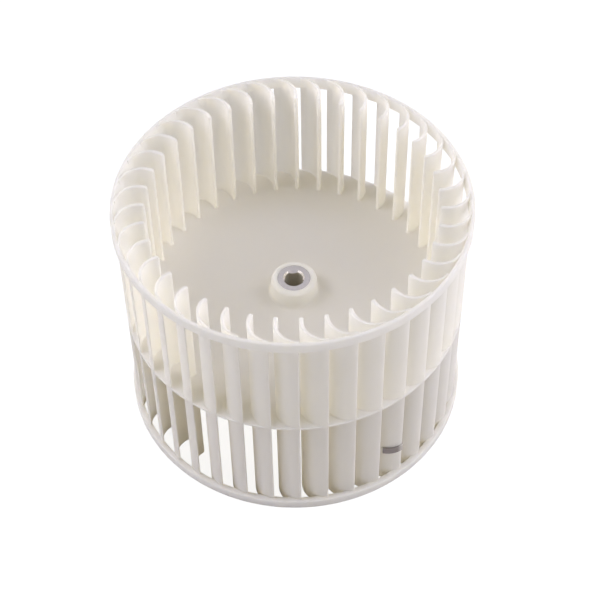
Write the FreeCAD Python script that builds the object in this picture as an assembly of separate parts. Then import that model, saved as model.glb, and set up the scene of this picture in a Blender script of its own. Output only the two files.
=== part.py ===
"""Double-inlet blower wheel: a one-piece moulding of two end rings, a centre disc, a boss and curved blades,
with a metal bush moulded into the boss and a spring clip on one blade for balance.

The origin is the centre of the lower end face and +Z is the axis of rotation. Lengths are in millimetres
and angles in degrees, counted anticlockwise from +X as seen from above.
"""
import FreeCAD
import Part
import math
import os

# Whole wheel
wheel_diameter = 150.0
wheel_height = 116.0

# End rings
ring_height = 5.0
ring_end_width = 1.5
ring_root_width = 2.9
ring_edge_round = 0.5

# Blades
blade_count = 39
blade_first_angle = 87.75
blade_sweep = 7.55
blade_depth = 12.85
blade_inner_thickness = 1.7
blade_outer_thickness = 0.8
blade_bow = 3.55
blade_setback = 1.5
blade_corner_round = 1.0
blade_corner_margin = 0.05

# Centre disc
disc_thickness = 1.2
disc_setback = 1.3

# Boss around the bush, on both sides of the disc
boss_diameter = 19.8
boss_projection = 8.4
boss_draft = 2.0
boss_edge_round = 1.5
boss_root_round = 1.5

# Metal bush with a hexagonal waist that locks it in the boss
bush_diameter = 14.2
bush_edge_break = 0.2
bush_waist_flats = 11.6
bush_waist_length = 7.0

# Bore of the bush, with one flat for a D-shaped shaft
bore_diameter = 8.0
bore_across_flat = 7.5
bore_flat_angle = 94.0
bore_countersink = 0.6

# Balance clip, folded over the outer edge of one blade
clip_thickness = 0.5
clip_width = 3.9
clip_leg_angle = 49.0
clip_height = 21.3
clip_blade = 23

# Sizes that follow from those above
wheel_radius = wheel_diameter / 2
mid_height = wheel_height / 2
disc_radius = wheel_radius - disc_setback
disc_top = mid_height + disc_thickness / 2
disc_bottom = mid_height - disc_thickness / 2
boss_top = disc_top + boss_projection
boss_bottom = disc_bottom - boss_projection
boss_end_radius = boss_diameter / 2
boss_foot_radius = boss_end_radius + boss_projection * math.tan(math.radians(boss_draft))
blade_pitch = 360.0 / blade_count
blade_outer_radius = wheel_radius - blade_setback
blade_inner_radius = blade_outer_radius - blade_depth
bush_radius = bush_diameter / 2
bore_radius = bore_diameter / 2
bore_flat_distance = bore_across_flat - bore_radius

UP = FreeCAD.Vector(0, 0, 1)
ORIGIN = FreeCAD.Vector(0, 0, 0)


def polar(radius, angle, z=0.0):
    """The point at a radius and an angle about the wheel's axis."""
    turn = math.radians(angle)
    return FreeCAD.Vector(radius * math.cos(turn), radius * math.sin(turn), z)


def rounded_outline(corners):
    """A closed wire through corners (x, z, rounding radius) in the XZ plane, with tangent arcs."""
    points = [FreeCAD.Vector(x, 0, z) for x, z, _ in corners]
    starts = []
    middles = []
    ends = []
    for index, (_, _, rounding) in enumerate(corners):
        here = points[index]
        back = (points[index - 1] - here).normalize()
        ahead = (points[(index + 1) % len(points)] - here).normalize()
        half_angle = back.getAngle(ahead) / 2
        reach = rounding / math.tan(half_angle)
        inward = (back + ahead).normalize()
        starts.append(here + back * reach)
        middles.append(here + inward * (rounding / math.sin(half_angle) - rounding))
        ends.append(here + ahead * reach)
    edges = []
    for index, (_, _, rounding) in enumerate(corners):
        if rounding > 0:
            edges.append(Part.Arc(starts[index], middles[index], ends[index]).toShape())
        edges.append(Part.makeLine(ends[index], starts[(index + 1) % len(points)]))
    return Part.Wire(edges)


def turned(corners):
    """The solid made by turning a rounded outline once round the wheel's axis."""
    return Part.Face(rounded_outline(corners)).revolve(ORIGIN, UP, 360)


def end_ring(end_z, root_z):
    """One end ring: its inner side slopes in from the end face towards the blades."""
    return turned([
        (wheel_radius, end_z, ring_edge_round),
        (wheel_radius, root_z, ring_edge_round),
        (wheel_radius - ring_root_width, root_z, ring_edge_round),
        (wheel_radius - ring_end_width, end_z, ring_edge_round),
    ])


def disc_and_boss():
    """The disc at mid-height with the boss on both sides, wider at its foot by the mould's draft."""
    return turned([
        (0, boss_bottom, 0),
        (boss_end_radius, boss_bottom, boss_edge_round),
        (boss_foot_radius, disc_bottom, boss_root_round),
        (disc_radius, disc_bottom, 0),
        (disc_radius, disc_top, 0),
        (boss_foot_radius, disc_top, boss_root_round),
        (boss_end_radius, boss_top, boss_edge_round),
        (0, boss_top, 0),
    ])


def blade_arc():
    """The camber line of the blade at angle zero: its centre, radius, first angle and turn.

    The line runs from the inner edge outwards and bows away from its chord by blade_bow.
    """
    inner = polar(blade_inner_radius + blade_inner_thickness / 2, 0)
    outer = polar(blade_outer_radius - blade_outer_thickness / 2, blade_sweep)
    chord = outer - inner
    half_chord = chord.Length / 2
    radius = (half_chord ** 2 + blade_bow ** 2) / (2 * blade_bow)
    towards_centre = FreeCAD.Vector(-chord.y, chord.x, 0).normalize()
    centre = (inner + outer) * 0.5 + towards_centre * (radius - blade_bow)
    first = math.degrees(math.atan2(inner.y - centre.y, inner.x - centre.x))
    turn = 2 * math.degrees(math.atan2(half_chord, radius - blade_bow))
    return centre, radius, first, turn


def blade_strip(start, extra, round_start):
    """A face along the camber line from a start angle to the half-round outer edge.

    The blade thins evenly from its inner to its outer edge. The extra is added to both faces and the
    outer edge. The start is half-round or square.
    """
    centre, radius, first, turn = blade_arc()
    last = first + turn
    middle = (start + last) / 2

    def half_width(angle):
        share = (angle - first) / turn
        return extra + (blade_inner_thickness * (1 - share) + blade_outer_thickness * share) / 2

    def at(side, angle):
        return centre + polar(radius + side * half_width(angle), angle)

    inner_cap = at(0, start) + polar(half_width(start), start - 90)
    outer_cap = at(0, last) + polar(half_width(last), last + 90)
    edges = [
        Part.Arc(at(1, start), at(1, middle), at(1, last)).toShape(),
        Part.Arc(at(1, last), outer_cap, at(-1, last)).toShape(),
        Part.Arc(at(-1, last), at(-1, middle), at(-1, start)).toShape(),
    ]
    if round_start:
        edges.append(Part.Arc(at(-1, start), inner_cap, at(1, start)).toShape())
    else:
        edges.append(Part.makeLine(at(-1, start), at(1, start)))
    return Part.Face(Part.Wire(edges))


def blade_body():
    """The blade at angle zero as a straight extrusion, before its corners are rounded."""
    _, _, first, _ = blade_arc()
    return blade_strip(first, 0, True).extrude(UP * wheel_height)


def blade():
    """The blade at angle zero, with its inner corners rounded towards both inlets."""
    wall = blade_inner_radius - blade_corner_margin
    envelope = turned([
        (wall, 0, blade_corner_round),
        (wheel_radius, 0, 0),
        (wheel_radius, wheel_height, 0),
        (wall, wheel_height, blade_corner_round),
    ])
    return blade_body().common(envelope)


def turned_copy(shape, angle):
    """A copy of a shape, turned about the wheel's axis."""
    copy = shape.copy()
    copy.rotate(ORIGIN, UP, angle)
    return copy


def bush_core():
    """The bush as a solid bar: round ends that show in the boss, and a hexagonal waist between them."""
    bar = turned([
        (0, boss_bottom, 0),
        (bush_radius, boss_bottom, bush_edge_break),
        (bush_radius, boss_top, bush_edge_break),
        (0, boss_top, 0),
    ])
    waist_bottom = mid_height - bush_waist_length / 2
    corner_radius = bush_waist_flats / 2 / math.cos(math.radians(30))
    corners = [polar(corner_radius, 60 * k, waist_bottom) for k in range(7)]
    hexagon = Part.Face(Part.makePolygon(corners)).extrude(UP * bush_waist_length)
    band = Part.makeCylinder(bush_diameter, bush_waist_length, polar(0, 0, waist_bottom))
    return bar.cut(band.cut(hexagon))


def bore():
    """The space of the D-shaped bore, with a countersink at both ends that leaves the flat whole."""
    mouth_radius = bore_radius + bore_countersink
    length = boss_top - boss_bottom
    hole = turned([
        (0, boss_bottom, 0),
        (mouth_radius, boss_bottom, 0),
        (bore_radius, boss_bottom + bore_countersink, 0),
        (bore_radius, boss_top - bore_countersink, 0),
        (mouth_radius, boss_top, 0),
        (0, boss_top, 0),
    ])
    beyond_flat = Part.makeBox(mouth_radius, 2 * mouth_radius, length,
                               FreeCAD.Vector(bore_flat_distance, -mouth_radius, boss_bottom))
    return hole.cut(turned_copy(beyond_flat, bore_flat_angle))


def fan_wheel():
    """The moulding: rings, disc, boss and blades as one solid, moulded round the bush."""
    one_blade = blade()
    blades = [turned_copy(one_blade, blade_first_angle + blade_pitch * k) for k in range(blade_count)]
    lower_ring = end_ring(0, ring_height)
    upper_ring = end_ring(wheel_height, wheel_height - ring_height)
    moulding = disc_and_boss().multiFuse([lower_ring, upper_ring] + blades)
    return moulding.removeSplitter().cut(bush_core())


def hub_insert():
    """The metal bush with its D-shaped bore."""
    return bush_core().cut(bore())


def balance_clip():
    """The spring-steel strip, folded over a blade's outer edge so that both legs lie on its faces."""
    _, _, first, turn = blade_arc()
    face = blade_strip(first + turn - clip_leg_angle, clip_thickness, False)
    face.translate(UP * (clip_height - clip_width / 2))
    folded = face.extrude(UP * clip_width).cut(blade_body())
    return turned_copy(folded, blade_first_angle + blade_pitch * clip_blade)


def write_parts():
    """Writes each piece to its own file."""
    os.makedirs("parts", exist_ok=True)
    pieces = {
        "fan_wheel": fan_wheel(),
        "hub_insert": hub_insert(),
        "balance_clip": balance_clip(),
    }
    for name, shape in pieces.items():
        shape.exportStep("parts/" + name + ".step")
        print(name, shape.ShapeType, len(shape.Solids), "solid,", round(shape.Volume), "mm3")


write_parts()
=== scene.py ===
"""A double-inlet blower wheel of milky plastic, with its metal bush and its balance clip, on a pale floor.

Sizes in the classes are in millimetres and angles in degrees, counted anticlockwise from +X as seen from
above. Meshes are in metres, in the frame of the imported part: the wheel stands on z = 0 and turns about +Z.
"""

import logging
import math
from collections.abc import Sequence
from dataclasses import dataclass, field
from enum import Enum

import bpy
import numpy as np
from mathutils import Matrix, Vector

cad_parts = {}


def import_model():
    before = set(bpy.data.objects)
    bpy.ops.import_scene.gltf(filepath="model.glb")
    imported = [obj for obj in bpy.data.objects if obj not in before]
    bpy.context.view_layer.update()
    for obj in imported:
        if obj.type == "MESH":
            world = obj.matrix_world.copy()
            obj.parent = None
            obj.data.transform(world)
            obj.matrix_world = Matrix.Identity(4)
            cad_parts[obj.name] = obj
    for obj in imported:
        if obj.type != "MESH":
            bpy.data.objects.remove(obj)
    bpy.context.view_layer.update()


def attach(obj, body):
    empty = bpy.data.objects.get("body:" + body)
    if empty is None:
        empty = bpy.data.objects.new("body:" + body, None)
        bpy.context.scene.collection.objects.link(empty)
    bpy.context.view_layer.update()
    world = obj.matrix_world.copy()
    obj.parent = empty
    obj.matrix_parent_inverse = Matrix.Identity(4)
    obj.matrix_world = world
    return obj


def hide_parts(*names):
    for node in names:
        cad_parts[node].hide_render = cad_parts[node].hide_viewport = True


MM = 0.001
# Radians that the wave texture advances in one unit at a scale of 1.
WAVE_TEXTURE_PHASE = 20.0
# Depths in millimetres that differ by less count as equal.
DEPTH_TOLERANCE = 0.01
log = logging.getLogger("blower_wheel")

Colour = tuple[float, float, float]


class Slot(Enum):
    """The record's material slots."""

    WHEEL = "wheel_plastic"
    BUSH = "bush_metal"
    CLIP = "clip_steel"


class BladeEnd(Enum):
    """The end of a blade, by the side it faces."""

    LOWER = -1
    UPPER = 1


def heading(angles: np.ndarray) -> np.ndarray:
    """Unit vectors (cos a, sin a) at angles in degrees, along a new last axis."""
    turns = np.radians(angles)
    return np.stack([np.cos(turns), np.sin(turns)], axis=-1)


def grid_quads(rows: int, columns: int, close_rows: bool = False, close_columns: bool = False) -> np.ndarray:
    """Joins a grid of points, numbered row by row, with quads.

    Quad (i, j) runs from point (i, j) to the next point of its row, to the one diagonally across, and to
    the next point of its column. A closed direction wraps round to its first point.

    Args:
        rows: The number of rows.
        columns: The number of points in a row.
        close_rows: Whether the last row joins the first.
        close_columns: Whether the last point of each row joins its first.

    Returns:
        Point numbers, four to a row.
    """
    i = np.arange(rows if close_rows else rows - 1)[:, None]
    j = np.arange(columns if close_columns else columns - 1)[None, :]
    below = (i + 1) % rows
    beside = (j + 1) % columns
    corners = [i * columns + j, i * columns + beside, below * columns + beside, below * columns + j]
    return np.stack(np.broadcast_arrays(*corners), axis=-1).reshape(-1, 4)


def rounded_outline(corners: Sequence[tuple[float, float, float]], steps: int = 7) -> np.ndarray:
    """A closed outline in which each corner gives way to the arc that touches both its sides.

    The arc's centre lies on the corner's bisector, at the radius over the sine of the half angle, and the
    arc runs between the points where circles of that centre touch the two sides.

    Args:
        corners: Each corner as (r, z, rounding radius).
        steps: The number of points along each arc.

    Returns:
        Points (r, z), in order.
    """
    table = np.array(corners, float)
    points, radii = table[:, :2], table[:, 2]
    back = np.roll(points, 1, axis=0) - points
    ahead = np.roll(points, -1, axis=0) - points
    back /= np.linalg.norm(back, axis=1, keepdims=True)
    ahead /= np.linalg.norm(ahead, axis=1, keepdims=True)
    half = np.arccos(np.clip((back * ahead).sum(axis=1), -1, 1)) / 2
    inward = back + ahead
    inward /= np.linalg.norm(inward, axis=1, keepdims=True)
    centres = points + inward * (radii / np.sin(half))[:, None]
    reach = (radii / np.tan(half))[:, None]
    first = points + back * reach - centres
    last = points + ahead * reach - centres
    start = np.arctan2(first[:, 1], first[:, 0])
    sweep = np.arctan2(last[:, 1], last[:, 0]) - start
    sweep = (sweep + math.pi) % (2 * math.pi) - math.pi
    angles = start[:, None] + sweep[:, None] * np.linspace(0, 1, steps)[None, :]
    arcs = centres[:, None, :] + radii[:, None, None] * np.stack([np.cos(angles), np.sin(angles)], axis=-1)
    return arcs.reshape(-1, 2)


@dataclass
class Surface:
    """A closed surface: its points in millimetres, and its quads."""

    points: np.ndarray
    quads: np.ndarray

    def outward(self) -> "Surface":
        """The same surface with its faces pointing outwards.

        The sum of the tetrahedra between the origin and the faces is the enclosed volume, and is negative
        where the faces point inwards.
        """
        a, b, c, d = (self.points[self.quads[:, k]] for k in range(4))
        volume = (a * np.cross(b, c)).sum() + (a * np.cross(c, d)).sum()
        return self if volume > 0 else Surface(self.points, self.quads[:, ::-1])

    def repeated(self, angles: np.ndarray) -> "Surface":
        """Copies of the surface turned about +Z, in one.

        Args:
            angles: The turn of each copy, in degrees.

        Returns:
            All the copies: (x cos a - y sin a, x sin a + y cos a, z) for each angle a.
        """
        turns = heading(angles)
        x, y, z = self.points.T
        c, s = turns[:, :1], turns[:, 1:]
        copies = np.stack([c * x - s * y, s * x + c * y, np.broadcast_to(z, (len(angles), len(z)))], axis=-1)
        shift = np.arange(len(angles))[:, None, None] * len(self.points)
        return Surface(copies.reshape(-1, 3), (self.quads[None] + shift).reshape(-1, 4))

    def beside(self, other: "Surface") -> "Surface":
        """This surface and another, side by side in one mesh."""
        quads = np.vstack([self.quads, other.quads + len(self.points)])
        return Surface(np.vstack([self.points, other.points]), quads)

    def to_object(self, name: str, crease: float = 35.0) -> bpy.types.Object:
        """Puts the surface into a smooth-shaded object at the origin.

        Args:
            name: The object's name.
            crease: Edges between faces that turn by more than this many degrees stay sharp.

        Returns:
            The new object, linked to the scene.
        """
        mesh = bpy.data.meshes.new(name)
        mesh.from_pydata((self.points * MM).tolist(), [], self.quads.tolist())
        smooth(mesh, crease)
        made = bpy.data.objects.new(name, mesh)
        bpy.context.scene.collection.objects.link(made)
        return made


def smooth(mesh: bpy.types.Mesh, crease: float) -> None:
    """Shades a mesh smooth, except across edges that turn by more than the crease angle, in degrees."""
    mesh.polygons.foreach_set("use_smooth", np.ones(len(mesh.polygons), bool))
    mesh.update()
    mesh.set_sharp_from_angle(angle=math.radians(crease))


def turned(outline: np.ndarray, segments: int) -> Surface:
    """A closed outline (r, z) carried once round the axis.

    Point (i, j) is (r_j cos a_i, r_j sin a_i, z_j), with a_i the i-th of equal steps round the circle.

    Args:
        outline: The outline's points.
        segments: The number of steps round the circle.

    Returns:
        The ring-shaped surface.
    """
    turns = heading(np.arange(segments) * 360 / segments)
    radius, height = outline.T
    around = turns[:, None, :] * radius[None, :, None]
    levels = np.broadcast_to(height, (segments, len(height)))[..., None]
    points = np.concatenate([around, levels], axis=-1).reshape(-1, 3)
    return Surface(points, grid_quads(segments, len(outline), True, True)).outward()


def lofted(loops: np.ndarray) -> Surface:
    """A bar through closed loops of equal counts, with flat ends.

    The sides are a grid, closed along the loops. Each end is a strip of quads that joins point k of its
    loop to point n - 1 - k, which lies across from it.

    Args:
        loops: The loops' points, as (loop, point, xyz), with an even number of points in each.

    Returns:
        The bar's surface.
    """
    rows, count, _ = loops.shape
    sides = grid_quads(rows, count, False, True)
    k = np.arange(count // 2 - 1)
    across = np.stack([k, k + 1, count - 2 - k, count - 1 - k], axis=-1)
    last = across + (rows - 1) * count
    return Surface(loops.reshape(-1, 3), np.vstack([sides, across[:, ::-1], last])).outward()


def united(name: str, base: Surface, added: Surface, crease: float) -> bpy.types.Object:
    """One closed solid from surfaces that overlap.

    Args:
        name: The new object's name.
        base: The first surface.
        added: The surface whose solids grow out of the first.
        crease: Edges that turn by more than this many degrees stay sharp.

    Returns:
        The new object.
    """
    whole = base.to_object(name, crease)
    tool = added.to_object(name + "_tool", crease)
    join = whole.modifiers.new("join", "BOOLEAN")
    join.operation = "UNION"
    join.solver = "MANIFOLD"
    join.object = tool
    graph = bpy.context.evaluated_depsgraph_get()
    mesh = bpy.data.meshes.new_from_object(whole.evaluated_get(graph))
    whole.modifiers.clear()
    spare = whole.data
    whole.data = mesh
    mesh.name = name
    bpy.data.meshes.remove(spare)
    bpy.data.objects.remove(tool)
    smooth(mesh, crease)
    return whole


class Nodes:
    """A node tree, with short ways to add and join nodes."""

    def __init__(self, tree: bpy.types.NodeTree, output: str) -> None:
        """Empties a tree and adds its output node.

        Args:
            tree: The tree.
            output: The output node's type name.
        """
        self.tree = tree
        self.tree.nodes.clear()
        self.output = self.add(output)

    def add(self, kind: str, **values: object) -> bpy.types.Node:
        """Adds a node and sets its own properties.

        Args:
            kind: The node's type name.
            **values: The properties, by name.

        Returns:
            The new node.
        """
        node = self.tree.nodes.new(kind)
        for key, value in values.items():
            setattr(node, key, value)
        return node

    def join(self, source: bpy.types.NodeSocket, target: bpy.types.NodeSocket) -> None:
        """Links an output to an input."""
        self.tree.links.new(source, target)


class Shader(Nodes):
    """A material's nodes, with the parts that the finishes share."""

    def __init__(self, name: str) -> None:
        """Makes an empty material with its output node."""
        self.material = bpy.data.materials.new(name)
        self.material.use_nodes = True
        super().__init__(self.material.node_tree, "ShaderNodeOutputMaterial")

    def principled(self, **constants: object) -> bpy.types.Node:
        """Adds the surface shader with constants set on its own sockets.

        Args:
            **constants: Socket values, with underscores for the spaces in the sockets' names.

        Returns:
            The shader node, joined to the output.
        """
        node = self.add("ShaderNodeBsdfPrincipled")
        for key, value in constants.items():
            node.inputs[key.replace("_", " ")].default_value = value
        self.join(node.outputs["BSDF"], self.output.inputs["Surface"])
        return node

    def noise(self, scale: float, detail: float = 2.0, roughness: float = 0.5) -> bpy.types.NodeSocket:
        """Even noise from 0 to 1 over the object's own coordinates.

        Args:
            scale: The number of features in a metre.
            detail: The number of finer layers.
            roughness: The strength of the finer layers.

        Returns:
            The noise value.
        """
        place = self.add("ShaderNodeTexCoord")
        node = self.add("ShaderNodeTexNoise")
        node.inputs["Scale"].default_value = scale
        node.inputs["Detail"].default_value = detail
        node.inputs["Roughness"].default_value = roughness
        self.join(place.outputs["Object"], node.inputs["Vector"])
        return node.outputs["Fac"]

    def axis_distance(self) -> bpy.types.NodeSocket:
        """The distance from the wheel's axis, in metres."""
        place = self.add("ShaderNodeTexCoord")
        flat = self.add("ShaderNodeVectorMath", operation="MULTIPLY")
        flat.inputs[1].default_value = (1, 1, 0)
        length = self.add("ShaderNodeVectorMath", operation="LENGTH")
        self.join(place.outputs["Object"], flat.inputs[0])
        self.join(flat.outputs["Vector"], length.inputs[0])
        return length.outputs["Value"]

    def spread(
        self, value: bpy.types.NodeSocket, low: float, high: float, start: float = 0.3, end: float = 0.7
    ) -> bpy.types.NodeSocket:
        """Maps a value from one range to another.

        Args:
            value: The value to map.
            low: The result at the start.
            high: The result at the end.
            start: The value at which the result is low.
            end: The value at which the result is high.

        Returns:
            The mapped value.
        """
        node = self.add("ShaderNodeMapRange")
        node.inputs["From Min"].default_value = start
        node.inputs["From Max"].default_value = end
        node.inputs["To Min"].default_value = low
        node.inputs["To Max"].default_value = high
        self.join(value, node.inputs["Value"])
        return node.outputs["Result"]

    def blend(self, share: bpy.types.NodeSocket, first: Colour, second: Colour) -> bpy.types.NodeSocket:
        """A colour between two, by a share from 0 to 1."""
        node = self.add("ShaderNodeMix", data_type="RGBA")
        colour_inputs = [s for s in node.inputs if s.type == "RGBA"]
        colour_inputs[0].default_value = (*first, 1)
        colour_inputs[1].default_value = (*second, 1)
        self.join(share, node.inputs["Factor"])
        return next(s for s in node.outputs if s.type == "RGBA")

    def bump(self, height: bpy.types.NodeSocket, strength: float, distance: float) -> bpy.types.NodeSocket:
        """A bumped normal.

        Args:
            height: The height, from 0 to 1.
            strength: The share of the effect.
            distance: The height of 1, in metres.

        Returns:
            The normal.
        """
        node = self.add("ShaderNodeBump")
        node.inputs["Strength"].default_value = strength
        node.inputs["Distance"].default_value = distance
        self.join(height, node.inputs["Height"])
        return node.outputs["Normal"]


@dataclass(frozen=True)
class MilkyPlastic:
    """Natural plastic as moulded: light sinks in and comes out warmer, and the surface has a satin grain.

    Near the metal bush the light goes less deep, because the bush throws it back. Clouds and grain are
    counted in features to a metre.
    """

    name: str = "milky_plastic"
    colour: Colour = (0.96, 0.94, 0.875)
    warm_colour: Colour = (0.96, 0.94, 0.855)
    milkiness: float = 0.9
    depth: float = 8.0
    depth_at_bush: float = 1.5
    bush_reach: tuple[float, float] = (8.5, 10.0)
    spread_by_colour: Colour = (1.0, 0.97, 0.85)
    refraction: float = 1.49
    specular: float = 0.25
    roughness: tuple[float, float] = (0.55, 0.67)
    clouds: float = 28.0
    grain: float = 1400.0
    grain_strength: float = 0.12
    grain_height: float = 0.03

    def build(self) -> bpy.types.Material:
        """Makes the material: slow clouds in the colour, and noise in roughness and height."""
        shader = Shader(self.name)
        surface = shader.principled(
            IOR=self.refraction,
            Subsurface_Weight=self.milkiness,
            Subsurface_Radius=self.spread_by_colour,
            Specular_IOR_Level=self.specular,
        )
        near, far = (radius * MM for radius in self.bush_reach)
        depth = shader.spread(shader.axis_distance(), self.depth_at_bush * MM, self.depth * MM, near, far)
        shader.join(depth, surface.inputs["Subsurface Scale"])
        clouds = shader.spread(shader.noise(self.clouds, 3), 0, 1)
        shader.join(shader.blend(clouds, self.colour, self.warm_colour), surface.inputs["Base Color"])
        shader.join(shader.spread(clouds, *self.roughness), surface.inputs["Roughness"])
        grain = shader.bump(shader.noise(self.grain, 2), self.grain_strength, self.grain_height * MM)
        shader.join(grain, surface.inputs["Normal"])
        return shader.material


@dataclass(frozen=True)
class TurnedMetal:
    """Light metal with the fine rings that a lathe leaves round +Z.

    The rings' wave advances by ring_phase radians in a millimetre. Patches are counted in a metre.
    """

    name: str = "turned_metal"
    colour: Colour = (0.50, 0.47, 0.49)
    ring_phase: float = 5.0
    roughness: float = 0.38
    metal: float = 1.0
    roughness_change: tuple[float, float] = (-0.05, 0.1)
    dark_share: float = 0.86
    patches: float = 900.0
    ring_wobble: float = 0.6
    ring_strength: float = 0.25
    ring_height: float = 0.01

    def build(self) -> bpy.types.Material:
        """Makes the material: rings round the axis in height, and noise in roughness and colour."""
        shader = Shader(self.name)
        surface = shader.principled(Metallic=self.metal)
        place = shader.add("ShaderNodeTexCoord")
        rings = shader.add("ShaderNodeTexWave", wave_type="RINGS", rings_direction="Z")
        rings.inputs["Scale"].default_value = self.ring_phase / MM / WAVE_TEXTURE_PHASE
        rings.inputs["Distortion"].default_value = self.ring_wobble
        rings.inputs["Detail"].default_value = 2
        shader.join(place.outputs["Object"], rings.inputs["Vector"])
        dark = tuple(self.dark_share * c for c in self.colour)
        patches = shader.noise(self.patches, 3)
        tone = shader.blend(shader.spread(patches, 0, 1), dark, self.colour)
        shader.join(tone, surface.inputs["Base Color"])
        low, high = (self.roughness + change for change in self.roughness_change)
        shader.join(shader.spread(patches, low, high), surface.inputs["Roughness"])
        ridges = shader.bump(rings.outputs["Fac"], self.ring_strength, self.ring_height * MM)
        shader.join(ridges, surface.inputs["Normal"])
        return shader.material


@dataclass(frozen=True)
class SpringSteel:
    """Rolled strip, dark, with fine lines along it, and a painted highlight where it is bent.

    The lines are noise with its features in a metre counted along X, Y and Z. The colour turns bright as the
    painted highlight plus a share of the lines goes through the bright range.
    """

    name: str = "spring_steel"
    # Painted shade and highlight: the dark colour partly stands for shade on the legs, and the bend's colour
    # is a painted highlight.
    colour: Colour = (0.27, 0.24, 0.235)
    painted_highlight_colour: Colour = (0.66, 0.64, 0.62)
    metal: float = 0.9
    roughness: tuple[float, float] = (0.30, 0.46)
    attribute: str = "painted_highlight"
    lines: tuple[float, float, float] = (120, 120, 6000)
    line_share: float = 0.5
    bright_range: tuple[float, float] = (0.2, 1.1)
    line_strength: float = 0.3
    line_height: float = 0.01

    def build(self) -> bpy.types.Material:
        """Makes the material: lines along the strip from stretched noise, with the bend's painted highlight.
        """
        shader = Shader(self.name)
        surface = shader.principled(Metallic=self.metal)
        place = shader.add("ShaderNodeTexCoord")
        stretch = shader.add("ShaderNodeMapping")
        stretch.inputs["Scale"].default_value = self.lines
        lines = shader.add("ShaderNodeTexNoise")
        lines.inputs["Scale"].default_value = 1
        lines.inputs["Detail"].default_value = 3
        shader.join(place.outputs["Object"], stretch.inputs["Vector"])
        shader.join(stretch.outputs["Vector"], lines.inputs["Vector"])
        # This attribute carries the painted highlight at the bend.
        painted_highlight = shader.add("ShaderNodeAttribute", attribute_name=self.attribute)
        lines_and_highlight = shader.add("ShaderNodeMath", operation="MULTIPLY_ADD", use_clamp=True)
        lines_and_highlight.inputs[1].default_value = self.line_share
        shader.join(lines.outputs["Fac"], lines_and_highlight.inputs[0])
        shader.join(painted_highlight.outputs["Fac"], lines_and_highlight.inputs[2])
        share = shader.spread(lines_and_highlight.outputs["Value"], 0, 1, *self.bright_range)
        shader.join(shader.blend(share, self.colour, self.painted_highlight_colour), surface.inputs["Base Color"])
        shader.join(shader.spread(lines.outputs["Fac"], *self.roughness), surface.inputs["Roughness"])
        ridges = shader.bump(lines.outputs["Fac"], self.line_strength, self.line_height * MM)
        shader.join(ridges, surface.inputs["Normal"])
        return shader.material


def dress(piece: bpy.types.Object, materials: Sequence[bpy.types.Material], node: str) -> None:
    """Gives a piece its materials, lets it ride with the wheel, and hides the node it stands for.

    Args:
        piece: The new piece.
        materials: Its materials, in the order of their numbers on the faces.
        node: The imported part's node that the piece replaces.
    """
    piece.data.materials.clear()
    for material in materials:
        piece.data.materials.append(material)
    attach(piece, "root")
    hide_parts(node)


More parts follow.
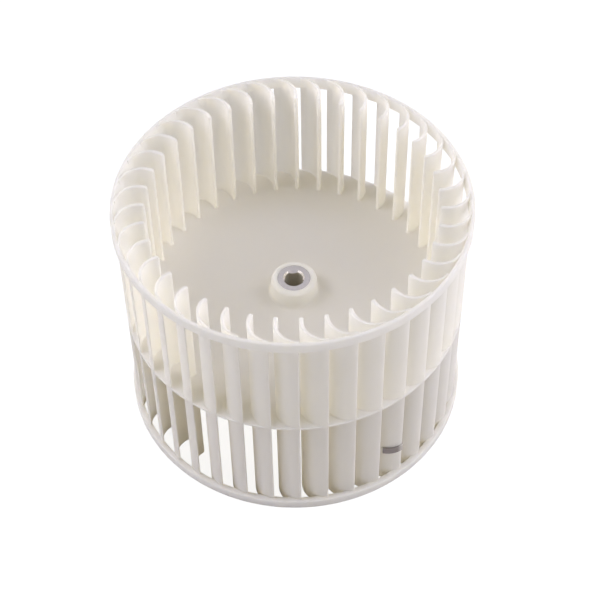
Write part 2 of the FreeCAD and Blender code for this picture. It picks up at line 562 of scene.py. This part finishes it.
@dataclass
class Blade:
    """One forward-curved blade, thick at its inner edge and thin at its outer one.

    Its section follows an arc in its own frame, in which the inner edge lies on +X. A point of the outline
    is centre + radius * e(a) + half width(a) * e(b), with e the heading, a the place along the arc and b
    the direction of the outline's side, which swings round at both ends to make them half-round. The
    foot levels are the distances of the loops next to the disc, as shares of the foot's rounding.
    """

    inner_radius: float = 60.65
    outer_radius: float = 73.5
    sweep: float = 7.55
    bow: float = 3.55
    inner_thickness: float = 1.7
    outer_thickness: float = 0.8
    height: float = 116.0
    corner_round: float = 1.3
    edge_share: float = 0.72
    foot_round: float = 0.6
    foot_levels: tuple[float, ...] = (1, 0.72, 0.48, 0.27, 0.12, 0.03)
    along: int = 17
    round_end: int = 4
    edge_points: int = 5

    centre: np.ndarray = field(init=False)
    radius: float = field(init=False)
    first: float = field(init=False)
    turn: float = field(init=False)

    def __post_init__(self) -> None:
        """Finds the arc through both edges that bows away from its chord by the bow."""
        inner = heading(np.array(0.0)) * (self.inner_radius + self.inner_thickness / 2)
        outer = heading(np.array(self.sweep)) * (self.outer_radius - self.outer_thickness / 2)
        chord = outer - inner
        half = np.linalg.norm(chord) / 2
        self.radius = (half**2 + self.bow**2) / (2 * self.bow)
        across = np.array([-chord[1], chord[0]]) / (2 * half)
        self.centre = (inner + outer) / 2 + across * (self.radius - self.bow)
        self.first = math.degrees(math.atan2(*(inner - self.centre)[::-1]))
        self.turn = 2 * math.degrees(math.atan2(half, self.radius - self.bow))

    def half_width(self, place: np.ndarray) -> np.ndarray:
        """Half the thickness at places along the arc, in degrees, thinning evenly outwards."""
        share = np.clip((place - self.first) / self.turn, 0, 1)
        return (self.inner_thickness * (1 - share) + self.outer_thickness * share) / 2

    def outline(self) -> tuple[np.ndarray, np.ndarray]:
        """Places along the arc and side directions of the outline, in degrees.

        The first half runs from the inner tip along the outer side of the arc to the outer tip. The second
        half is its mirror image in the arc, b' = 2 (a + 90) - b, in reverse order, so that point k lies
        across from point n - 1 - k.
        """
        step = 90 / (self.round_end + 0.5)
        swing = step * np.arange(self.round_end, 0, -1)
        last = self.first + self.turn
        place = np.concatenate([
            np.full(self.round_end, self.first),
            np.linspace(self.first, last, self.along),
            np.full(self.round_end, last),
        ])
        side = np.concatenate([self.first - swing, place[self.round_end:-self.round_end], last + swing[::-1]])
        return np.concatenate([place, place[::-1]]), np.concatenate([side, (2 * (place + 90) - side)[::-1]])

    def ring(self, place: np.ndarray, side: np.ndarray, growth: np.ndarray) -> np.ndarray:
        """The outline's points (x, y), with the half width changed by the growth."""
        middle = self.centre + self.radius * heading(place)
        return middle + (self.half_width(place) + growth)[..., None] * heading(side)

    def foot(self, place: np.ndarray, distance: np.ndarray) -> np.ndarray:
        """How far the blade flares at a distance from the disc.

        The flare is f - sqrt(f^2 - (f - d)^2), a quarter circle of radius f, and fades out along the
        outermost third of the blade.
        """
        left = np.clip(self.foot_round - distance, 0, self.foot_round)
        flare = self.foot_round - np.sqrt(self.foot_round**2 - left**2)
        fade = np.clip((self.first + self.turn - place) / (self.turn / 3), 0, 1)
        return flare * fade * fade * (3 - 2 * fade)

    def end_loops(self, end: BladeEnd, place: np.ndarray, side: np.ndarray) -> np.ndarray:
        """The loops that round one end's edges, from the end face inwards.

        At a step s from 0 to 90 degrees the outline is inset by e (1 - sin s) and lies e (1 - cos s) below
        the face, with e a share of the half width. The face itself drops by a quarter circle of radius c
        next to the inner edge.
        """
        step = np.radians(np.linspace(0, 90, self.edge_points))[:, None]
        edge = self.edge_share * self.half_width(place)[None, :]
        flat = self.ring(place[None, :], side[None, :], -edge * (1 - np.sin(step)))
        c = self.corner_round
        short = np.clip(c - (np.linalg.norm(flat, axis=-1) - self.inner_radius), 0, c)
        drop = c - np.sqrt(c**2 - short**2) + edge * (1 - np.cos(step))
        level = self.height - drop if end is BladeEnd.UPPER else drop
        return np.concatenate([flat, level[..., None]], axis=-1)

    def surface(self, disc_bottom: float, disc_top: float) -> Surface:
        """The blade's closed surface, flared where it meets the disc.

        Args:
            disc_bottom: The height of the disc's lower side.
            disc_top: The height of its upper side.

        Returns:
            The blade at angle zero.
        """
        place, side = self.outline()
        apart = self.foot_round * np.array(self.foot_levels)
        levels = np.concatenate([disc_bottom - apart, disc_top + apart[::-1]])[:, None]
        distance = np.concatenate([apart, apart[::-1]])[:, None]
        flat = self.ring(place[None, :], side[None, :], self.foot(place[None, :], distance))
        wall = np.concatenate([flat, np.broadcast_to(levels[..., None], (*flat.shape[:2], 1))], axis=-1)
        lower = self.end_loops(BladeEnd.LOWER, place, side)
        upper = self.end_loops(BladeEnd.UPPER, place, side)[::-1]
        return lofted(np.concatenate([lower, wall, upper]))


@dataclass
class Moulding:
    """The wheel itself, one moulding: end rings, centre disc, boss and blades."""

    outer_radius: float = 75.0
    height: float = 116.0
    ring_height: float = 5.0
    ring_end_width: float = 1.5
    ring_root_width: float = 2.9
    ring_outer_round: float = 0.9
    ring_inner_round: float = 0.4
    ring_root_round: float = 0.5
    disc_thickness: float = 1.2
    disc_radius: float = 73.5
    disc_edge_round: float = 0.2
    boss_radius: float = 9.9
    boss_projection: float = 8.4
    boss_draft: float = 2.0
    boss_round: float = 1.5
    bush_seat_radius: float = 7.12
    bush_seat_round: float = 0.08
    blade_count: int = 39
    first_blade: float = 87.75
    segments: int = 312
    crease: float = 38.0
    blade: Blade = field(default_factory=Blade)
    finish: MilkyPlastic = field(default_factory=MilkyPlastic)

    @property
    def disc_top(self) -> float:
        """The height of the disc's upper side."""
        return (self.height + self.disc_thickness) / 2

    @property
    def disc_bottom(self) -> float:
        """The height of the disc's lower side."""
        return (self.height - self.disc_thickness) / 2

    def blade_angles(self) -> np.ndarray:
        """The blades' angles, anticlockwise from the first."""
        return self.first_blade + np.arange(self.blade_count) * 360 / self.blade_count

    def end_ring(self, end: float, root: float) -> Surface:
        """An end ring, whose inner side slopes in from the end face towards the blades.

        Args:
            end: The height of the end face.
            root: The height of the ring's other side.

        Returns:
            The ring.
        """
        outline = rounded_outline([
            (self.outer_radius, end, self.ring_outer_round),
            (self.outer_radius, root, self.ring_root_round),
            (self.outer_radius - self.ring_root_width, root, self.ring_root_round),
            (self.outer_radius - self.ring_end_width, end, self.ring_inner_round),
        ])
        return turned(outline, self.segments)

    def disc(self) -> Surface:
        """The disc with the boss on both sides, open at the bush's seat."""
        foot = self.boss_radius + self.boss_projection * math.tan(math.radians(self.boss_draft))
        top, bottom = self.disc_top, self.disc_bottom
        boss_top, boss_bottom = top + self.boss_projection, bottom - self.boss_projection
        outline = rounded_outline([
            (self.bush_seat_radius, boss_bottom, self.bush_seat_round),
            (self.boss_radius, boss_bottom, self.boss_round),
            (foot, bottom, self.boss_round),
            (self.disc_radius, bottom, self.disc_edge_round),
            (self.disc_radius, top, self.disc_edge_round),
            (foot, top, self.boss_round),
            (self.boss_radius, boss_top, self.boss_round),
            (self.bush_seat_radius, boss_top, self.bush_seat_round),
        ])
        return turned(outline, self.segments)

    def build(self) -> bpy.types.Object:
        """Makes the moulding as one closed solid and dresses it."""
        lower_ring = self.end_ring(0.0, self.ring_height)
        upper_ring = self.end_ring(self.height, self.height - self.ring_height)
        blades = self.blade.surface(self.disc_bottom, self.disc_top).repeated(self.blade_angles())
        base = lower_ring.beside(upper_ring).beside(self.disc())
        wheel = united("wheel_moulding", base, blades, self.crease)
        dress(wheel, [self.finish.build()], "fan_wheel")
        return wheel


@dataclass
class Bush:
    """The metal bush in the boss, with a countersunk bore for a D-shaped shaft."""

    radius: float = 7.1
    top: float = 67.0
    bottom: float = 49.0
    edge_break: float = 0.1
    bore_radius: float = 4.0
    flat_distance: float = 3.5
    flat_angle: float = 94.0
    countersink: float = 0.7
    segments: int = 192
    edge_points: int = 5
    face_steps: int = 4
    crease: float = 25.0
    face_finish: TurnedMetal = TurnedMetal()
    # The countersink's lighter colour is partly the cut's own brighter metal and partly a painted highlight.
    cut_and_highlight_finish: TurnedMetal = TurnedMetal("cut_metal_and_highlight", (0.74, 0.71, 0.69), 8.0, 0.2)
    bore_finish: TurnedMetal = TurnedMetal("bore_metal", (0.60, 0.57, 0.50), 3.0, 0.6, 0.6)

    def angles(self) -> np.ndarray:
        """Steps round the circle, with the ends of the flat among them."""
        reach = math.degrees(math.acos(self.flat_distance / self.bore_radius))
        ends = np.array([self.flat_angle - reach, self.flat_angle + reach])
        steps = np.arange(self.segments) * 360 / self.segments
        clear = np.abs(steps[:, None] - ends[None, :]).min(axis=1) > 90 / self.segments
        return np.sort(np.concatenate([steps[clear], ends]))

    def profile(self) -> tuple[np.ndarray, np.ndarray, np.ndarray]:
        """The upper half's loops, from the rim inwards and down into the bore.

        At angle a the bore's wall lies at w = d / max(cos(a - f), d / r), with r its radius and d and f the
        flat's distance and angle, which is on the flat or at r, whichever is nearer to the axis. The
        countersink is a cone of 45 degrees, so it runs from its mouth's radius m in the face down to m - w
        below the face.

        Returns:
            The angle of each column, and the radius and the depth below the face of each (loop, column).
        """
        angle = self.angles()
        toward_flat = np.cos(np.radians(angle - self.flat_angle))
        wall = self.flat_distance / np.maximum(toward_flat, self.flat_distance / self.bore_radius)[None, :]
        mouth = self.bore_radius + self.countersink
        swing = np.radians(np.linspace(0, 90, self.edge_points))[:, None]
        edge = self.radius - self.edge_break * (1 - np.cos(swing))
        face = np.linspace(self.radius - self.edge_break, mouth, self.face_steps + 1)[1:-1, None]
        even = np.ones_like(wall)
        broken = self.edge_break * (1 - np.sin(swing))
        radii = [edge * even, face * even, mouth * even, (mouth + wall) / 2, wall]
        depths = [broken * even, 0 * face * even, 0 * even, (mouth - wall) / 2, mouth - wall]
        return angle, np.vstack(radii), np.vstack(depths)

    def finish_numbers(self, rows: int, columns: int, wall_depth: np.ndarray) -> np.ndarray:
        """The number of each face's finish: 0 is the end face, 1 the countersink, whose lighter colour is
        partly a painted highlight, and 2 the bore.

        The bevel over the flat, where the countersink runs deeper than its own depth, has the end face's.

        Args:
            rows: The number of loops in a half.
            columns: The number of points in a loop.
            wall_depth: The countersink's depth at each point.

        Returns:
            The numbers, as (loop, point).
        """
        over_flat = np.maximum(wall_depth, np.roll(wall_depth, -1)) > self.countersink + DEPTH_TOLERANCE
        numbers = np.zeros((2 * rows, columns), np.int32)
        numbers[[rows - 3, rows - 2, rows, rows + 1]] = np.where(over_flat, 0, 1)
        numbers[rows - 1] = 2
        return numbers

    def build(self) -> bpy.types.Object:
        """Makes the bush from two mirrored halves, and dresses its face, countersinks and bore."""
        angle, radii, depths = self.profile()
        rows, columns = radii.shape
        radii = np.vstack([radii, radii[::-1]])
        heights = np.vstack([self.top - depths, (self.bottom + depths)[::-1]])
        around = heading(angle)[None, :, :] * radii[..., None]
        points = np.concatenate([around, heights[..., None]], axis=-1)
        skin = Surface(points.reshape(-1, 3), grid_quads(*radii.shape, True, True)).outward()
        bush = skin.to_object("hub_bush", self.crease)
        finishes = (self.face_finish, self.cut_and_highlight_finish, self.bore_finish)
        dress(bush, [finish.build() for finish in finishes], "hub_insert")
        numbers = self.finish_numbers(rows, columns, depths[-1])
        bush.data.polygons.foreach_set("material_index", numbers.ravel())
        return bush


@dataclass
class BalanceClip:
    """The steel strip folded over the outer edge of one blade, with a painted highlight next to its bend."""

    wheel: Moulding
    blade_number: int = 23
    thickness: float = 0.5
    width: float = 3.9
    leg_angle: float = 49.0
    height: float = 21.3
    edge_round: float = 0.1
    clearance: float = 0.02
    leg_points: int = 14
    bend_steps: int = 12
    corner_points: int = 4
    highlight_angle: float = 12.0
    crease: float = 40.0
    finish: SpringSteel = field(default_factory=SpringSteel)

    def build(self) -> bpy.types.Object:
        """Makes the clip: a rounded strip carried along one face of the blade, round its edge and back."""
        blade = self.wheel.blade
        last = blade.first + blade.turn
        leg = np.linspace(last - self.leg_angle, last, self.leg_points)
        bend = np.linspace(0, 180, self.bend_steps + 1)[1:-1]
        place = np.concatenate([leg, np.full(len(bend), last), leg[::-1]])
        side = np.concatenate([leg, last + bend, leg[::-1] + 180])
        half = self.thickness / 2
        section = rounded_outline([
            (half, -self.width / 2, self.edge_round),
            (half, self.width / 2, self.edge_round),
            (-half, self.width / 2, self.edge_round),
            (-half, -self.width / 2, self.edge_round),
        ], self.corner_points)
        growth = self.clearance + half + section[:, 0]
        flat = blade.ring(place[:, None], side[:, None], growth[None, :] * np.ones((len(place), 1)))
        level = np.broadcast_to(self.height + section[:, 1], flat.shape[:2])
        loops = np.concatenate([flat, level[..., None]], axis=-1)
        surface = lofted(loops).repeated(self.wheel.blade_angles()[[self.blade_number]])
        clip = surface.to_object("balance_clip_strip", self.crease)
        # Painted highlight: 1 on the bend, fading to 0 along the legs within the angle set above.
        highlight_share = np.clip((place - last) / self.highlight_angle + 1, 0, 1) * np.ones((len(section), 1))
        layer = clip.data.attributes.new(self.finish.attribute, "FLOAT", "POINT")
        layer.data.foreach_set("value", highlight_share.T.ravel().astype(np.float32))
        dress(clip, [self.finish.build()], "balance_clip")
        return clip


@dataclass(frozen=True)
class Softbox:
    """A square soft light: its place and side in metres, its power in watts and its colour."""

    name: str
    place: tuple[float, float, float]
    side: float
    power: float
    colour: Colour = (1.0, 0.96, 1.0)

    def build(self, target: Vector) -> None:
        """Hangs the light at its place, turned towards the target."""
        lamp = bpy.data.lights.new(self.name, "AREA")
        lamp.size = self.side
        lamp.energy = self.power
        lamp.color = self.colour
        made = bpy.data.objects.new(self.name, lamp)
        made.location = self.place
        made.rotation_euler = (target - made.location).to_track_quat("-Z", "Y").to_euler()
        bpy.context.scene.collection.objects.link(made)


@dataclass
class Studio:
    """The plain pale floor, the soft light and the camera.

    Light passes from blade to blade many times in a pale cage, so it may bounce more often than usual.
    """

    focal_pixels: float = 1611.0
    image_pixels: float = 600.0
    sensor: float = 36.0
    elevation: float = 50.38
    roll: float = 1.21
    distance: float = 705.4
    aim_height: float = 58.0
    shift_pixels: tuple[float, float] = (5.8, -9.0)
    sky: float = 0.1
    bounces: int = 24
    floor_half: float = 600.0
    floor_drop: float = 0.05
    floor_colour: Colour = (0.80, 0.79, 0.78)
    floor_glow: float = 0.85
    floor_shade: float = 0.30
    lamps: tuple[Softbox, ...] = (
        Softbox("right", (1.2, 0.0, 0.45), 0.9, 4.9),
        Softbox("high_left", (-0.9, 0.0, 1.0), 0.9, 8.6),
        Softbox("high_right", (0.9, 0.0, 1.0), 0.9, 6.8),
        Softbox("back_left", (-0.85, 0.85, 0.6), 0.9, 2.2),
        Softbox("back_right", (0.85, 0.85, 0.6), 0.9, 1.4),
        Softbox("front_left", (-0.9, -0.9, 0.5), 0.9, 2.5),
        Softbox("front_right", (0.9, -0.9, 0.5), 0.9, 1.6),
    )

    def floor(self) -> bpy.types.Object:
        """A pale floor that looks white to the camera apart from the wheel's shadow.

        The camera sees a steady glow plus a share of the light that falls on the floor. From below the
        floor is clear.
        """
        corners = np.array([(-1, -1, 0), (1, -1, 0), (1, 1, 0), (-1, 1, 0)]) * self.floor_half
        made = Surface(corners - (0, 0, self.floor_drop), np.array([[0, 1, 2, 3]])).to_object("floor")
        shader = Shader("pale_floor")
        matt = shader.add("ShaderNodeBsdfDiffuse")
        matt.inputs["Color"].default_value = (*self.floor_colour, 1)
        shade = shader.add("ShaderNodeBsdfDiffuse")
        shade.inputs["Color"].default_value = (self.floor_shade, self.floor_shade, self.floor_shade, 1)
        glow = shader.add("ShaderNodeEmission")
        glow.inputs["Strength"].default_value = self.floor_glow
        white = shader.add("ShaderNodeAddShader")
        shader.join(shade.outputs["BSDF"], white.inputs[0])
        shader.join(glow.outputs["Emission"], white.inputs[1])
        path = shader.add("ShaderNodeLightPath")
        seen = shader.add("ShaderNodeMixShader")
        shader.join(path.outputs["Is Camera Ray"], seen.inputs["Fac"])
        shader.join(matt.outputs["BSDF"], seen.inputs[1])
        shader.join(white.outputs["Shader"], seen.inputs[2])
        clear = shader.add("ShaderNodeBsdfTransparent")
        under = shader.add("ShaderNodeMixShader")
        back = shader.add("ShaderNodeNewGeometry")
        shader.join(back.outputs["Backfacing"], under.inputs["Fac"])
        shader.join(seen.outputs["Shader"], under.inputs[1])
        shader.join(clear.outputs["BSDF"], under.inputs[2])
        shader.join(under.outputs["Shader"], shader.output.inputs["Surface"])
        made.data.materials.append(shader.material)
        return made

    def world(self) -> None:
        """Even light from all round, seen as white by the camera and in reflections."""
        world = bpy.data.worlds.new("studio")
        bpy.context.scene.world = world
        world.use_nodes = True
        nodes = Nodes(world.node_tree, "ShaderNodeOutputWorld")
        path = nodes.add("ShaderNodeLightPath")
        bright = path.outputs["Is Camera Ray"]
        for kind in ("Is Glossy Ray", "Is Transmission Ray"):
            either = nodes.add("ShaderNodeMath", operation="MAXIMUM")
            nodes.join(bright, either.inputs[0])
            nodes.join(path.outputs[kind], either.inputs[1])
            bright = either.outputs["Value"]
        strength = nodes.add("ShaderNodeMapRange")
        strength.inputs["To Min"].default_value = self.sky
        strength.inputs["To Max"].default_value = 1.0
        glow = nodes.add("ShaderNodeBackground")
        glow.inputs["Color"].default_value = (1, 1, 1, 1)
        nodes.join(bright, strength.inputs["Value"])
        nodes.join(strength.outputs["Result"], glow.inputs["Strength"])
        nodes.join(glow.outputs["Background"], nodes.output.inputs["Surface"])

    def camera(self) -> None:
        """The camera of the photograph: in front, above, a little rolled."""
        rise = math.radians(self.elevation)
        back = Vector((0, -math.cos(rise), math.sin(rise)))
        eye = Vector((0, 0, self.aim_height * MM)) + back * (self.distance * MM)
        lens = bpy.data.cameras.new("camera")
        lens.sensor_width = self.sensor
        lens.lens = self.focal_pixels * lens.sensor_width / self.image_pixels
        lens.shift_x = self.shift_pixels[0] / self.image_pixels
        lens.shift_y = self.shift_pixels[1] / self.image_pixels
        lens.clip_start = 0.01
        made = bpy.data.objects.new("camera", lens)
        turn = (-back).to_track_quat("-Z", "Y").to_matrix().to_4x4()
        made.matrix_world = Matrix.Translation(eye) @ turn @ Matrix.Rotation(-math.radians(self.roll), 4, "Z")
        bpy.context.scene.collection.objects.link(made)
        bpy.context.scene.camera = made

    def build(self) -> None:
        """Sets up floor, light and camera."""
        self.floor()
        self.world()
        for lamp in self.lamps:
            lamp.build(Vector((0, 0, self.aim_height * MM)))
        self.camera()
        bpy.context.scene.view_settings.view_transform = "Standard"
        bpy.context.scene.cycles.max_bounces = self.bounces
        bpy.context.scene.cycles.diffuse_bounces = self.bounces


def main() -> None:
    """Loads the frame, builds the pieces in order and sets up the studio."""
    logging.basicConfig(level=logging.INFO, format="%(name)s: %(message)s")
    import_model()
    moulding = Moulding()
    for piece in (moulding.build(), Bush().build(), BalanceClip(moulding).build()):
        log.info("%s: %d points, %d faces", piece.name, len(piece.data.vertices), len(piece.data.polygons))
    Studio().build()


if __name__ == "__main__":
    main()
